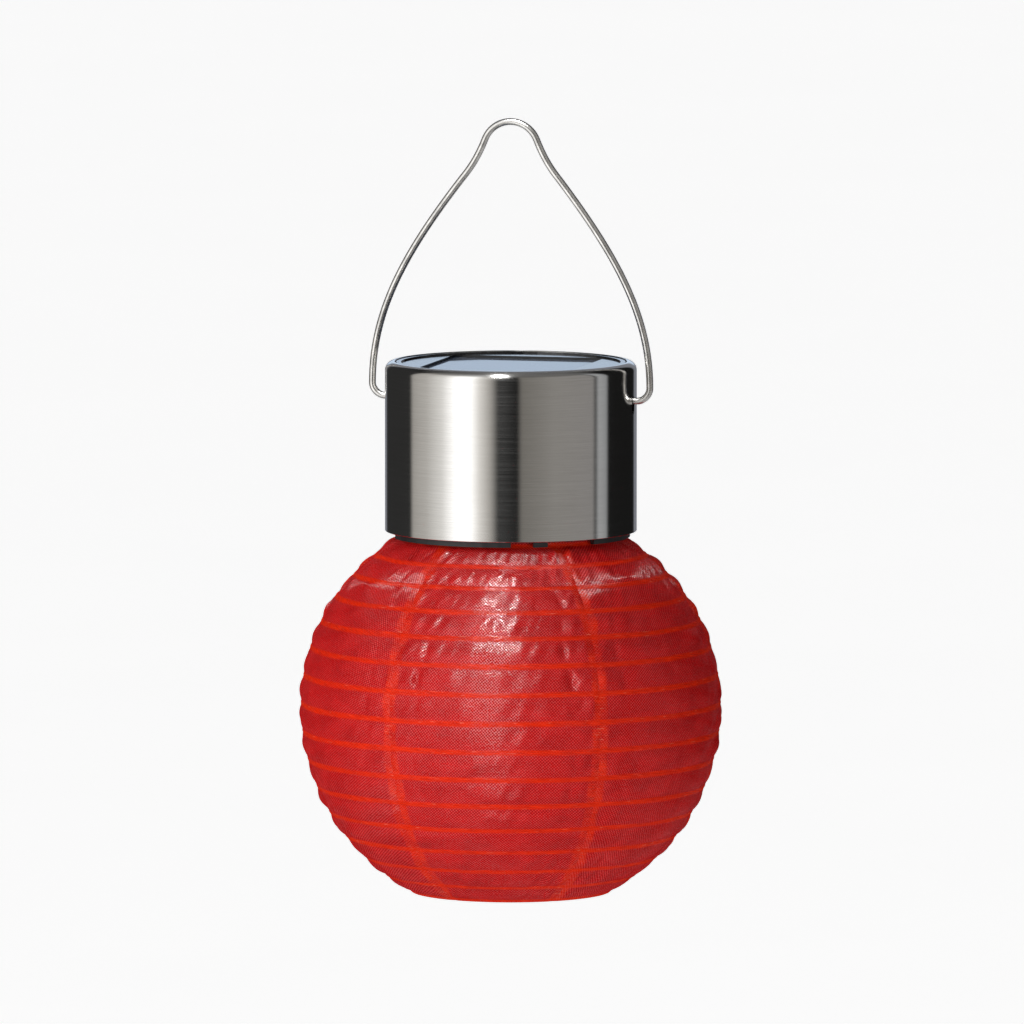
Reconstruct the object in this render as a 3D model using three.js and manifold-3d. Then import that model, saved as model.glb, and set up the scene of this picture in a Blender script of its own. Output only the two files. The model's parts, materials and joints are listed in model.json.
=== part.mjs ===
// Hanging solar lantern with a collapsible fabric shade: a stainless drum cap hung on a wire bail,
// a solar panel in the cap's top, and a round shade of six fabric gores on level wire hoops.
// Millimetres, +Z up, front at -Y. The origin is where the bail rests on a hook, under its crown.
import * as THREE from "three";
import { mergeVertices } from "three/addons/utils/BufferGeometryUtils.js";
import Module from "manifold-3d";

const wasm = await Module();
wasm.setup();

// Clearance between pieces that touch
const GAP = 0.3;

// Shade
const SHADE_D = 110; // over the fabric at the belly
const SHADE_H = 92.5; // from the foot plane to the collar
const BELLY_Z = 48.5; // height of the widest place
const FOOT_D = 53; // over the fabric at the foot
const FABRIC_T = 0.4;
const HOOP_COUNT = 14;
const HOOP_WIRE = 1;
const HOOP_SIDES = 5;
const GORE_COUNT = 6;
const GORE_FACETS = 5;
const SEAM_ANGLE = THREE.MathUtils.degToRad(-21); // first seam, from the front towards +X
const FOOT_DISC_T = 1;
const FOOT_RIM_T = 1.6;
const FOOT_RIM_W = 1.2;
const OUTLINE_STEPS = 400; // steps that measure the fabric's length from mouth to foot

// Cap
const CAP_D = 65.2;
const CAP_H = 44;
const CAP_LIFT = 1.5; // the cap's lower edge above the collar's
const CAP_WALL = 0.5;
const CAP_SHOULDER_R = 2.3;
const CAP_LIP_D = 60;
const ROUND = 48; // facets round the cap

// Bail
const BAIL_WIRE = 1.8;
const BAIL_RISE = 71.8; // pivot to the crown, along the wire's middle
const BAIL_DROP = 9.7; // pivot below the cap's top
const BAIL_CLEAR = 3.5; // between the legs and the cap
const BAIL_TAIL = 3.1; // end of the wire inside the cap's outside radius
const BAIL_BEND_R = 3.3;
const BAIL_BOW = 21.5; // height over which the legs stay nearly upright
const BAIL_CROWN_R = 7.4;
const BAIL_CROWN_SLOPE = THREE.MathUtils.degToRad(22); // crown's sides, from the vertical
const BAIL_NECK_W = 13.1; // half width at the neck's kink
const BAIL_NECK_DROP = 15.1; // kink below the crown
const BAIL_NECK_SLOPE = THREE.MathUtils.degToRad(38); // legs below the kink, from the vertical
const BAIL_LEG_PULL = 0.45; // share of the legs' height that leads into the kink
const BAIL_NECK_PULL = 0.15; // share of the neck's height that leaves the kink
const BAIL_CROWN_PULL = 0.43; // share of the neck's height that leads into the crown
const BAIL_STEPS = 36; // steps along half the wire
const SLOT_W = 2.6;
const SLOT_H = 4.6;

// Panel tray and solar panel
const RIM_W = 1.2;
const RIM_DROP = 0.2; // rim below the cap's lip
const DECK_DROP = 0.6; // deck below the cap's lip
const TRAY_T = 1.4;
const TRAY_FLANGE_DROP = 4.6;
const PANEL_DROP = 0.6; // panel's face below the deck
const PANEL_CORNER = 0.07; // pocket's corner inside the rim
const COVER_T = 0.8;
const CELL_T = 0.3;
const CELL_COUNT = 4;
const CELL_MARGIN = 1;
const PANEL_LEAD_X = 4; // leads at the middle of the pocket's floor
const BOARD_T = 1.2;
const BOSS_R = 2.8;
const SCREW_INSET = 10.6; // case screws inside the cap's outside radius

// Base housing, collar and bayonet
const PLATE_RISE = 2; // plate above the cap's lower edge
const PLATE_T = 2.5;
const SKIRT_H = 4;
const SKIRT_T = 1.2;
const COLLAR_CLEAR = 1.2; // between the collar and the cap's wall
const COLLAR_WALL = 1.3;
const FLANGE_T = 1.1;
const FLANGE_W = 3.7;
const NOTCH_H = 1.2;
const NOTCHES = [[14, 25], [32, 58]]; // in each third of the collar's edge, in degrees
const LUG_T = 1;
const LUG_STEM_T = 1.8;
const LUG_CLEAR = 0.5; // between a lug and the fabric
const LUG_SPAN = THREE.MathUtils.degToRad(12);
const BAYONET_TURN = THREE.MathUtils.degToRad(20);
const BAYONET_COUNT = 3;

// Light
const TURRET_D = 13;
const TURRET_DROP = 17; // turret's end below the base plate
const TURRET_WALL = 1.2;
const TURRET_FLANGE_D = 17;
const TURRET_NECK_D = 10.4;
const TURRET_NECK_H = 3;
const LED_D = 5;
const LED_OUT = 5; // dome's tip below the turret's end
const LED_RIM = 0.4;
const LED_RIM_T = 1;
const LED_PIN = 1.27; // leads from the light's middle

// Battery
const BATTERY_D = 10.5;
const BATTERY_L = 30;
const BATTERY_X = 3; // middle of the battery box
const NUB_D = 4;
const NUB_L = 0.8;
const SPRING_L = 2.9;
const SPRING_WIRE = 0.5;
const SPRING_TURNS = 3;
const SPRING_INSET = 1.5; // wide end inside the battery's radius
const CONTACT_T = 0.5;
const BOX_WALL = 1;
const DOOR_T = 1;
const DOOR_LEDGE = 0.9;
const DOOR_EAR = 6; // length of the screwed ear

// Circuit
const PCB = { x: 8, y: -14.5, width: 24, depth: 11, thick: 1.2, rise: 1.2 };
const CHIP = { x: 14, y: -16.5, width: 5, depth: 4, high: 1.5 };
const COIL = { x: 3, y: -16, radius: 2.5, high: 4 };
const SWITCH = { x: -14, y: -12, width: 8.6, depth: 4.4, high: 4.4, travel: 2.2 };
const LEVER_W = 2;
const LEVER_DROP = 2.8; // lever's end below the base plate

// Leads
const LEAD_D = 1;
const LEAD_PADS = { led: [-1, 1.5], battery: [16, 4], panel: [6.5, 13.5] }; // across the board
const PAD_INSET = 1; // pads inside the board's back edge
const LEAD_STUB = 2; // straight length at both ends of a lead
const LEAD_TURN = 0.3; // share of the way at which a lead is at full height
const OVER_BOARD = 5; // height of the light's leads above the board
const OVER_BOX = 4; // height of the battery's leads above the battery box
const UNDER_PANEL = 10; // height of the panel's leads above the battery box

// Screws
const SCREW = { shankR: 1.1, headR: 2, headTopR: 1.4, headH: 1, headEdge: 0.5, length: 8 };

// Places that follow from the sizes above
const THIRD = (2 * Math.PI) / BAYONET_COUNT;
const CAP_R = CAP_D / 2;
const CAP_BOTTOM = SHADE_H + CAP_LIFT;
const CAP_TOP = CAP_BOTTOM + CAP_H;
const BORE_R = CAP_R - CAP_WALL;
const PLATE_Z = CAP_BOTTOM + PLATE_RISE;
const PLATE_TOP = PLATE_Z + PLATE_T;
const COLLAR_R = BORE_R - COLLAR_CLEAR;
const COLLAR_BORE = COLLAR_R - COLLAR_WALL;
const COLLAR_TOP = PLATE_Z - GAP;
const FLANGE_Z = COLLAR_TOP - FLANGE_T;
const FLANGE_BORE = COLLAR_R - FLANGE_W;
const MOUTH_R = COLLAR_BORE - GAP;
const LUG_REACH = MOUTH_R - FABRIC_T - LUG_CLEAR;
const PIVOT_Z = CAP_TOP - BAIL_DROP;
const HOOK_Z = PIVOT_Z + BAIL_RISE - BAIL_WIRE / 2;
const RIM_R = CAP_LIP_D / 2 - GAP;
const RIM_BORE = RIM_R - RIM_W;
const DECK_Z = CAP_TOP - DECK_DROP;
const POCKET = (RIM_BORE - PANEL_CORNER) * Math.SQRT2;
const PANEL = POCKET - 2 * GAP;
const COVER_Z = DECK_Z - PANEL_DROP - COVER_T;
const CELL_Z = COVER_Z - GAP - CELL_T;
const BOARD_Z = CELL_Z - GAP - BOARD_T;
const POCKET_Z = BOARD_Z - GAP;
const TRAY_Z = POCKET_Z - TRAY_T;
const SCREW_X = CAP_R - SCREW_INSET;
const TURRET_Z = PLATE_Z - TURRET_DROP;
const LED_SEAT = TURRET_Z + TURRET_WALL + GAP;
const BOX_BORE = BATTERY_D + 2 * GAP;
const BOX_LENGTH = CONTACT_T + SPRING_L + BATTERY_L + 4 * GAP;
const BATTERY_Y = TURRET_FLANGE_D / 2 + GAP + DOOR_LEDGE + BOX_BORE / 2;
const BATTERY_Z = PLATE_TOP + GAP + BATTERY_D / 2;
const BOX_TOP = BATTERY_Z + BOX_BORE / 2;
const BOX_END = BATTERY_X - BOX_LENGTH / 2;
const EAR_X = BOX_END - DOOR_EAR / 2;
const DOOR_LEFT = EAR_X - DOOR_EAR / 2;
const DOOR_RIGHT = BOX_END + BOX_LENGTH + DOOR_LEDGE;
const DOOR_WIDTH = DOOR_RIGHT - DOOR_LEFT;
const DOOR_DEPTH = BOX_BORE + 2 * DOOR_LEDGE;
const DOOR_X = (DOOR_LEFT + DOOR_RIGHT) / 2;
const BATTERY_LEAD_X = {
  red: BOX_END + BOX_LENGTH - GAP - CONTACT_T / 2,
  black: BOX_END + 2 * SPRING_WIRE,
};
const PCB_Z = PLATE_TOP + PCB.rise + GAP;
const PCB_TOP = PCB_Z + PCB.thick;

// Shape helpers

/** A closed three.js geometry as a solid whose faces point out. */
function solid(geometry) {
  geometry.deleteAttribute("normal");
  geometry.deleteAttribute("uv");
  const merged = mergeVertices(geometry, 1e-5);
  const corners = Array.from(merged.index.array);
  const faces = [];
  for (let i = 0; i < corners.length; i += 3) {
    const [a, b, c] = corners.slice(i, i + 3);
    if (a !== b && b !== c && c !== a) faces.push([a, b, c]);
  }
  const build = (list) =>
    new wasm.Manifold(
      new wasm.Mesh({
        numProp: 3,
        vertProperties: new Float32Array(merged.attributes.position.array),
        triVerts: new Uint32Array(list.flat()),
      }),
    );
  const body = build(faces);
  return body.volume() > 0 ? body : build(faces.map(([a, b, c]) => [a, c, b]));
}

/** A round solid from a profile of radius and height, turned about Z. */
function turned(profile, segments = ROUND, start = 0) {
  const points = profile.map(([r, z]) => new THREE.Vector2(r, z));
  const geometry = new THREE.LatheGeometry(points, segments, start);
  geometry.rotateX(Math.PI / 2);
  return solid(geometry);
}

/** The profile closed on itself, for a ring. */
const closed = (profile) => [...profile, profile[0]];

function disc(radius, low, high, segments = ROUND) {
  return turned([[0, low], [radius, low], [radius, high], [0, high]], segments);
}

function tube(bore, radius, low, high, segments = ROUND) {
  return turned(closed([[bore, low], [radius, low], [radius, high], [bore, high]]), segments);
}

/** An upright box, given by its middle in plan. */
function block(width, depth, low, high, x = 0, y = 0) {
  const geometry = new THREE.BoxGeometry(width, depth, high - low);
  geometry.translate(x, y, (low + high) / 2);
  return solid(geometry);
}

/** A round post or hole away from the axis. */
function post(radius, low, high, x, y, segments = 12) {
  return disc(radius, low, high, segments).translate([x, y, 0]);
}

/** Part of a ring between two angles from the front towards +X. */
function sector(bore, radius, from, to, low, high) {
  const shape = new THREE.Shape();
  const front = -Math.PI / 2;
  shape.absarc(0, 0, radius, front + from, front + to, false);
  shape.absarc(0, 0, bore, front + to, front + from, true);
  const geometry = new THREE.ExtrudeGeometry(shape, {
    depth: high - low,
    curveSegments: 4,
    bevelEnabled: false,
  });
  geometry.translate(0, 0, low);
  return solid(geometry);
}

/** Round wire along a curve. */
function rod(curve, diameter, steps, sides = 6) {
  const section = new THREE.Shape();
  for (let i = 0; i < sides; i += 1) {
    const angle = (2 * Math.PI * i) / sides;
    const at = [(diameter / 2) * Math.cos(angle), (diameter / 2) * Math.sin(angle)];
    if (i === 0) section.moveTo(...at);
    else section.lineTo(...at);
  }
  section.closePath();
  const options = { steps, extrudePath: curve, bevelEnabled: false };
  return solid(new THREE.ExtrudeGeometry(section, options));
}

const joined = (first, ...others) => others.reduce((sum, other) => sum.add(other), first);
const cut = (body, ...tools) => tools.reduce((left, tool) => left.subtract(tool), body);
const around = (count, make) => Array.from({ length: count }, (_, i) => make(i));

// Materials

const finish = (color, roughness, metalness = 0) =>
  new THREE.MeshStandardMaterial({ color, roughness, metalness });

const steel = finish(0xb9b6b0, 0.3, 1);
const wireSteel = finish(0xa8a6a2, 0.35, 1);
const blackGloss = finish(0x101012, 0.25);
const blackMatt = finish(0x17171a, 0.6);
const redFabric = finish(0xb3201c, 0.8);
const hoopSteel = finish(0x8e8c88, 0.4, 1);
const siliconBlue = finish(0x2a3a58, 0.3, 0.2);
const resin = finish(0xa3b4cc, 0.15);
const boardGreen = finish(0x1f5a37, 0.55);
const nickel = finish(0xc6c3bb, 0.35, 1);
const cellSleeve = finish(0x2f7d4a, 0.5);
const clearLens = finish(0xf3f1e6, 0.1);
const leadRed = finish(0xc01818, 0.5);
const leadBlack = finish(0x161616, 0.5);

const lantern = new THREE.Group();
lantern.position.z = -HOOK_Z;

/** Adds a solid to the lantern as a named mesh. */
function add(name, body, material) {
  const made = body.getMesh();
  const geometry = new THREE.BufferGeometry();
  geometry.setAttribute("position", new THREE.BufferAttribute(made.vertProperties, 3));
  geometry.setIndex(new THREE.BufferAttribute(made.triVerts, 1));
  geometry.computeVertexNormals();
  const mesh = new THREE.Mesh(geometry, material);
  mesh.name = name;
  lantern.add(mesh);
  return mesh;
}

// Shade

/** Outside radius of the shade at a height: two half ellipses that meet at the belly. */
function shadeRadius(z) {
  const belly = SHADE_D / 2;
  const up = z > BELLY_Z;
  const end = up ? MOUTH_R : FOOT_D / 2;
  const reach = up ? SHADE_H - BELLY_Z : BELLY_Z;
  const semi = reach / Math.sqrt(1 - (end / belly) ** 2);
  return belly * Math.sqrt(1 - ((z - BELLY_Z) / semi) ** 2);
}

/** The fabric's outline from the mouth to the foot, with one point at each ring and hoop. */
function shadeOutline() {
  const spans = HOOP_COUNT + 1;
  const path = new THREE.CurvePath();
  const at = (i) => {
    const z = SHADE_H * (1 - i / OUTLINE_STEPS);
    return new THREE.Vector2(shadeRadius(z), z);
  };
  for (let i = 0; i < OUTLINE_STEPS; i += 1) path.add(new THREE.LineCurve(at(i), at(i + 1)));
  const points = path.getSpacedPoints(spans).map((p) => [p.x, p.y]);
  return [[MOUTH_R, FLANGE_Z - GAP], ...points.slice(0, spans + 1)];
}

/** An outline moved inwards by a depth, square to each of its spans. */
function inset(outline, depth) {
  const normals = outline.slice(1).map(([r, z], i) => {
    const [r0, z0] = outline[i];
    const length = Math.hypot(r - r0, z - z0);
    return [(z0 - z) / length, (r - r0) / length];
  });
  return outline.map(([r, z], i) => {
    const before = normals[Math.max(i - 1, 0)];
    const after = normals[Math.min(i, normals.length - 1)];
    const sum = [before[0] + after[0], before[1] + after[1]];
    const mitre = (2 * depth) / (sum[0] ** 2 + sum[1] ** 2);
    return [r - sum[0] * mitre, z - sum[1] * mitre];
  });
}

const outline = shadeOutline();
const lining = inset(outline, FABRIC_T);
const wireLine = inset(outline, FABRIC_T + GAP + HOOP_WIRE / 2);

/** A wire ring whose facets lie along the gores' facets. */
function hoop([radius, z], sides = HOOP_SIDES) {
  const section = around(sides, (i) => {
    const angle = (2 * Math.PI * i) / sides;
    return [radius + (HOOP_WIRE / 2) * Math.cos(angle), z + (HOOP_WIRE / 2) * Math.sin(angle)];
  });
  return turned(closed(section), GORE_COUNT * GORE_FACETS, SEAM_ANGLE);
}

/** One fabric gore from seam to seam, half a clearance inside each seam. */
function gore(index) {
  const span = (2 * Math.PI) / GORE_COUNT;
  const start = SEAM_ANGLE + index * span;
  const columns = GORE_FACETS + 1;
  const rows = outline.length;
  const positions = [];
  const faces = [];
  for (const line of [outline, lining]) {
    for (const [radius, z] of line) {
      const margin = Math.asin(GAP / 2 / radius);
      for (let j = 0; j < columns; j += 1) {
        const inside = Math.min(Math.max((span * j) / GORE_FACETS, margin), span - margin);
        const angle = start + inside;
        positions.push(radius * Math.sin(angle), -radius * Math.cos(angle), z);
      }
    }
  }
  const vertex = (layer, i, j) => layer * rows * columns + i * columns + j;
  const quad = (a, b, c, d) => faces.push(a, b, c, a, c, d);
  for (let i = 0; i + 1 < rows; i += 1) {
    for (let j = 0; j + 1 < columns; j += 1) {
      quad(vertex(0, i, j), vertex(0, i + 1, j), vertex(0, i + 1, j + 1), vertex(0, i, j + 1));
      quad(vertex(1, i, j), vertex(1, i, j + 1), vertex(1, i + 1, j + 1), vertex(1, i + 1, j));
    }
    quad(vertex(0, i, 0), vertex(1, i, 0), vertex(1, i + 1, 0), vertex(0, i + 1, 0));
    const last = columns - 1;
    quad(vertex(0, i, last), vertex(0, i + 1, last), vertex(1, i + 1, last), vertex(1, i, last));
  }
  for (let j = 0; j + 1 < columns; j += 1) {
    const end = rows - 1;
    quad(vertex(0, 0, j), vertex(0, 0, j + 1), vertex(1, 0, j + 1), vertex(1, 0, j));
    quad(vertex(0, end, j), vertex(1, end, j), vertex(1, end, j + 1), vertex(0, end, j + 1));
  }
  const geometry = new THREE.BufferGeometry();
  geometry.setAttribute("position", new THREE.Float32BufferAttribute(positions, 3));
  geometry.setIndex(faces);
  return solid(geometry);
}

/** The stiff foot disc inside the foot ring, flat underneath with a low rim on top. */
function footDisc(ringRadius) {
  const radius = ringRadius - HOOP_WIRE / 2 - GAP;
  const bore = radius - FOOT_RIM_W;
  const profile = [
    [0, 0],
    [radius, 0],
    [radius, FOOT_RIM_T],
    [bore, FOOT_RIM_T],
    [bore, FOOT_DISC_T],
    [0, FOOT_DISC_T],
  ];
  return turned(profile, GORE_COUNT * GORE_FACETS, SEAM_ANGLE);
}

/** The ring that the fabric's mouth is fixed in. Its flange takes the bayonet's lugs. */
function collar() {
  const wall = tube(COLLAR_BORE, COLLAR_R, SHADE_H, COLLAR_TOP);
  const flange = tube(FLANGE_BORE, COLLAR_BORE + COLLAR_WALL / 2, FLANGE_Z, COLLAR_TOP);
  const notches = around(BAYONET_COUNT, (i) =>
    NOTCHES.map((ends) => {
      const [from, to] = ends.map((angle) => THIRD * i + THREE.MathUtils.degToRad(angle));
      return sector(COLLAR_BORE - GAP, COLLAR_R + GAP, from, to, SHADE_H - GAP, SHADE_H + NOTCH_H);
    }),
  ).flat();
  const entry = around(BAYONET_COUNT, (i) => {
    const middle = THIRD * (i + 0.5) - BAYONET_TURN;
    const half = LUG_SPAN / 2 + (2 * GAP) / FLANGE_BORE;
    const depth = LUG_REACH + GAP;
    return sector(
      FLANGE_BORE - GAP, depth, middle - half, middle + half, FLANGE_Z - GAP, COLLAR_TOP + GAP,
    );
  });
  return cut(wall.add(flange), ...notches, ...entry);
}

const [, topRing, ...lowerRings] = wireLine;
const footRing = lowerRings.pop();

add("collar", collar(), blackMatt);
add("top_ring", hoop(topRing), hoopSteel);
lowerRings.forEach((place, i) => {
  add(`hoop_${String(i + 1).padStart(2, "0")}`, hoop(place), hoopSteel);
});
add("foot_ring", hoop(footRing), hoopSteel);
add("foot_disc", footDisc(footRing[0]), blackMatt);
around(GORE_COUNT, (i) => add(`gore_${i + 1}`, gore(i), redFabric));

// Cap

/** Quarter circle of the cap's shoulder, from the side to the top. */
function shoulder(radius) {
  const middle = [CAP_R - CAP_SHOULDER_R, CAP_TOP - CAP_SHOULDER_R];
  const steps = 5;
  return around(steps + 1, (i) => {
    const angle = (Math.PI / 2) * (i / steps);
    return [middle[0] + radius * Math.cos(angle), middle[1] + radius * Math.sin(angle)];
  });
}

/** The drum cap: a thin steel cup, open below, with a lip round its top and two bail slots. */
function capShell() {
  const profile = closed([
    [BORE_R, CAP_BOTTOM],
    [CAP_R, CAP_BOTTOM],
    ...shoulder(CAP_SHOULDER_R),
    [CAP_LIP_D / 2, CAP_TOP],
    [CAP_LIP_D / 2, CAP_TOP - CAP_WALL],
    ...shoulder(CAP_SHOULDER_R - CAP_WALL).reverse(),
  ]);
  return cut(turned(profile), bailSlots());
}

/** Both bail slots as one long bar with round ends, through the cap along X. */
function bailSlots() {
  const half = (SLOT_H - SLOT_W) / 2;
  const top = PIVOT_Z + BAIL_WIRE / 2 + GAP;
  const shape = new THREE.Shape();
  shape.absarc(0, half, SLOT_W / 2, 0, Math.PI, false);
  shape.absarc(0, -half, SLOT_W / 2, Math.PI, 2 * Math.PI, false);
  shape.closePath();
  const reach = CAP_D + SLOT_H;
  const options = { depth: reach, curveSegments: 6, bevelEnabled: false };
  const geometry = new THREE.ExtrudeGeometry(shape, options);
  geometry.translate(0, 0, -reach / 2);
  geometry.rotateX(Math.PI / 2);
  geometry.rotateZ(Math.PI / 2);
  geometry.translate(0, 0, top - SLOT_H / 2);
  return solid(geometry);
}

/** The black tray under the lip: rim, deck, square pocket, flange and two screw bosses. */
function panelTray() {
  const deckUnder = DECK_Z - TRAY_T;
  const pocketOuter = POCKET + 2 * TRAY_T;
  const pocketWall = block(pocketOuter, pocketOuter, TRAY_Z, DECK_Z);
  const flangeZ = CAP_TOP - TRAY_FLANGE_DROP - TRAY_T;
  const body = joined(
    disc(RIM_R, deckUnder, DECK_Z),
    tube(RIM_BORE, RIM_R, deckUnder, CAP_TOP - RIM_DROP),
    tube(RIM_R - TRAY_T, RIM_R, TRAY_Z, deckUnder + GAP),
    tube(RIM_R - GAP, BORE_R - GAP, flangeZ, flangeZ + TRAY_T),
    pocketWall.intersect(disc(RIM_R, TRAY_Z, DECK_Z)),
    ...[-1, 1].map((side) => post(BOSS_R, PLATE_TOP + GAP, deckUnder + GAP, side * SCREW_X, 0)),
  );
  const pilots = [-1, 1].map((side) =>
    post(SCREW.shankR + GAP, PLATE_TOP, PLATE_TOP + SCREW.length, side * SCREW_X, 0, 8),
  );
  const leadHoles = [-1, 1].map((side) =>
    post(LEAD_D / 2 + GAP, TRAY_Z - GAP, POCKET_Z + GAP, side * PANEL_LEAD_X, 0, 8),
  );
  const pocket = block(POCKET, POCKET, POCKET_Z, CAP_TOP);
  return cut(body, pocket, ...pilots, ...leadHoles);
}

/** The solar panel: board, cell strips and clear cover. */
function addPanel() {
  const pitch = (PANEL - 2 * CELL_MARGIN) / CELL_COUNT;
  const strip = block(pitch - GAP, PANEL - 2 * CELL_MARGIN, 0, CELL_T);
  add("panel_board", block(PANEL, PANEL, BOARD_Z, BOARD_Z + BOARD_T), boardGreen);
  around(CELL_COUNT, (i) => {
    const cell = add(`solar_cell_${i + 1}`, strip, siliconBlue);
    cell.position.set(pitch * (i - (CELL_COUNT - 1) / 2), 0, CELL_Z);
  });
  add("panel_cover", block(PANEL, PANEL, COVER_Z, COVER_Z + COVER_T), resin);
}

add("cap_shell", capShell(), steel);
add("panel_tray", panelTray(), blackGloss);
addPanel();

// Base housing

/** The bayonet's lugs: a stem below the plate with a foot under the collar's flange. */
function lugs() {
  const stem = FLANGE_BORE - 2 * GAP;
  return around(BAYONET_COUNT, (i) => {
    const middle = THIRD * (i + 0.5);
    const ends = [middle - LUG_SPAN / 2, middle + LUG_SPAN / 2];
    const foot = FLANGE_Z - GAP - LUG_T;
    return sector(stem - LUG_STEM_T, LUG_REACH, ...ends, foot, foot + LUG_T).add(
      sector(stem - LUG_STEM_T, stem, ...ends, foot, PLATE_Z + GAP),
    );
  });
}

function baseHousing() {
  const box = cut(
    block(
      BOX_LENGTH + 2 * BOX_WALL, BOX_BORE + 2 * BOX_WALL, PLATE_TOP - GAP, BOX_TOP + BOX_WALL,
      BATTERY_X, BATTERY_Y,
    ),
    block(BOX_LENGTH, BOX_BORE, PLATE_Z, BOX_TOP, BATTERY_X, BATTERY_Y),
    ...Object.values(BATTERY_LEAD_X).map((x) =>
      post(LEAD_D / 2 + GAP, BOX_TOP - GAP, BOX_TOP + BOX_WALL + GAP, x, BATTERY_Y, 8),
    ),
  );
  const plate = cut(
    disc(BORE_R - GAP, PLATE_Z, PLATE_TOP),
    post(TURRET_NECK_D / 2 + GAP, PLATE_Z - GAP, PLATE_TOP + GAP, 0, 0, 24),
    block(BOX_LENGTH, BOX_BORE, PLATE_Z - GAP, PLATE_TOP + GAP, BATTERY_X, BATTERY_Y),
    block(DOOR_WIDTH, DOOR_DEPTH, PLATE_Z - GAP, PLATE_Z + DOOR_T + GAP, DOOR_X, BATTERY_Y),
    block(
      LEVER_W + SWITCH.travel + 2 * GAP, LEVER_W + 2 * GAP, PLATE_Z - GAP, PLATE_TOP + GAP,
      SWITCH.x, SWITCH.y,
    ),
  );
  const posts = [-1, 1].map((side) =>
    post(SCREW.headR, PLATE_TOP - GAP, PCB_Z - GAP, PCB.x + (side * PCB.width) / 3, PCB.y, 8),
  );
  const earBoss = post(BOSS_R, PLATE_TOP - GAP, PLATE_TOP + SCREW.length, EAR_X, BATTERY_Y);
  const body = joined(
    plate,
    tube(BORE_R - GAP - SKIRT_T, BORE_R - GAP, PLATE_TOP - GAP, PLATE_TOP + SKIRT_H),
    box,
    earBoss,
    ...posts,
    ...lugs(),
  );
  const holes = [[-SCREW_X, 0], [SCREW_X, 0], [EAR_X, BATTERY_Y]].map(([x, y]) =>
    post(SCREW.shankR + GAP, PLATE_Z - GAP, PLATE_TOP + SCREW.length - GAP, x, y, 8),
  );
  return cut(body, ...holes);
}

function batteryDoor() {
  const plate = block(
    DOOR_WIDTH - 2 * GAP, DOOR_DEPTH - 2 * GAP, PLATE_Z, PLATE_Z + DOOR_T, DOOR_X, BATTERY_Y,
  );
  const hole = post(SCREW.shankR + GAP, PLATE_Z - GAP, PLATE_Z + DOOR_T + GAP, EAR_X, BATTERY_Y, 8);
  return plate.subtract(hole);
}

/** A pan-head screw that points up, with the underside of its head at z = 0. */
function screw() {
  const { shankR, headR, headTopR, headH, headEdge, length } = SCREW;
  const profile = [
    [0, -headH],
    [headTopR, -headH],
    [headR, -headEdge],
    [headR, 0],
    [shankR, 0],
    [shankR, length - shankR],
    [0, length],
  ];
  return turned(profile, 10);
}

function addScrew(name, x, y) {
  add(name, screw(), nickel).position.set(x, y, PLATE_Z - GAP);
}

// Battery

function batteryCell() {
  const body = disc(BATTERY_D / 2, 0, BATTERY_L - NUB_L, 20);
  return body.add(disc(NUB_D / 2, BATTERY_L - NUB_L - GAP, BATTERY_L, 12));
}

/** The cone spring at the battery's flat end, coiling along Z from its wide end. */
function batterySpring() {
  const turns = 2 * Math.PI * SPRING_TURNS;
  const wide = BATTERY_D / 2 - SPRING_INSET;
  const narrow = NUB_D / 2;
  const count = 8 * SPRING_TURNS;
  const points = around(count + 1, (i) => {
    const t = i / count;
    const radius = wide + (narrow - wide) * t;
    const height = SPRING_WIRE / 2 + t * (SPRING_L - SPRING_WIRE);
    return new THREE.Vector3(radius * Math.cos(turns * t), radius * Math.sin(turns * t), height);
  });
  return rod(new THREE.CatmullRomCurve3(points), SPRING_WIRE, 10 * SPRING_TURNS, 5);
}

/** Adds a piece of the battery that was made along Z, laid along X from a given end. */
function layAlongX(name, body, material, x) {
  const mesh = add(name, body, material);
  mesh.rotation.y = Math.PI / 2;
  mesh.position.set(x, BATTERY_Y, BATTERY_Z);
}

function addBattery() {
  const springEnd = BOX_END + GAP;
  const contactX = BOX_END + BOX_LENGTH - GAP - CONTACT_T;
  const half = BATTERY_D / 2 - GAP;
  layAlongX("battery_spring", batterySpring(), nickel, springEnd);
  layAlongX("battery_cell", batteryCell(), cellSleeve, springEnd + SPRING_L + GAP);
  layAlongX("battery_contact", block(2 * half, 2 * half, 0, CONTACT_T), nickel, contactX);
}

// Circuit and switch

function addCircuit() {
  const { x, y, width, depth } = PCB;
  const seat = PCB_TOP + GAP;
  const chip = block(CHIP.width, CHIP.depth, seat, seat + CHIP.high, CHIP.x, CHIP.y);
  const coil = post(COIL.radius, seat, seat + COIL.high, COIL.x, COIL.y, 16);
  add("circuit_board", block(width, depth, PCB_Z, PCB_TOP, x, y), boardGreen);
  add("driver_chip", chip, blackMatt);
  add("inductor", coil, blackGloss);
}

function addSwitch() {
  const { x, y, width, depth, high, travel } = SWITCH;
  const seat = PLATE_TOP + GAP;
  const well = block(
    LEVER_W + travel + 2 * GAP, LEVER_W + 2 * GAP, seat - GAP, seat + high / 2, x, y,
  );
  const lever = block(
    LEVER_W, LEVER_W, PLATE_Z - LEVER_DROP, seat + high / 2 - GAP, x - travel / 2, y,
  );
  add("switch_body", cut(block(width, depth, seat, seat + high, x, y), well), nickel);
  add("switch_lever", lever, blackMatt);
}

// Light

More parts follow.
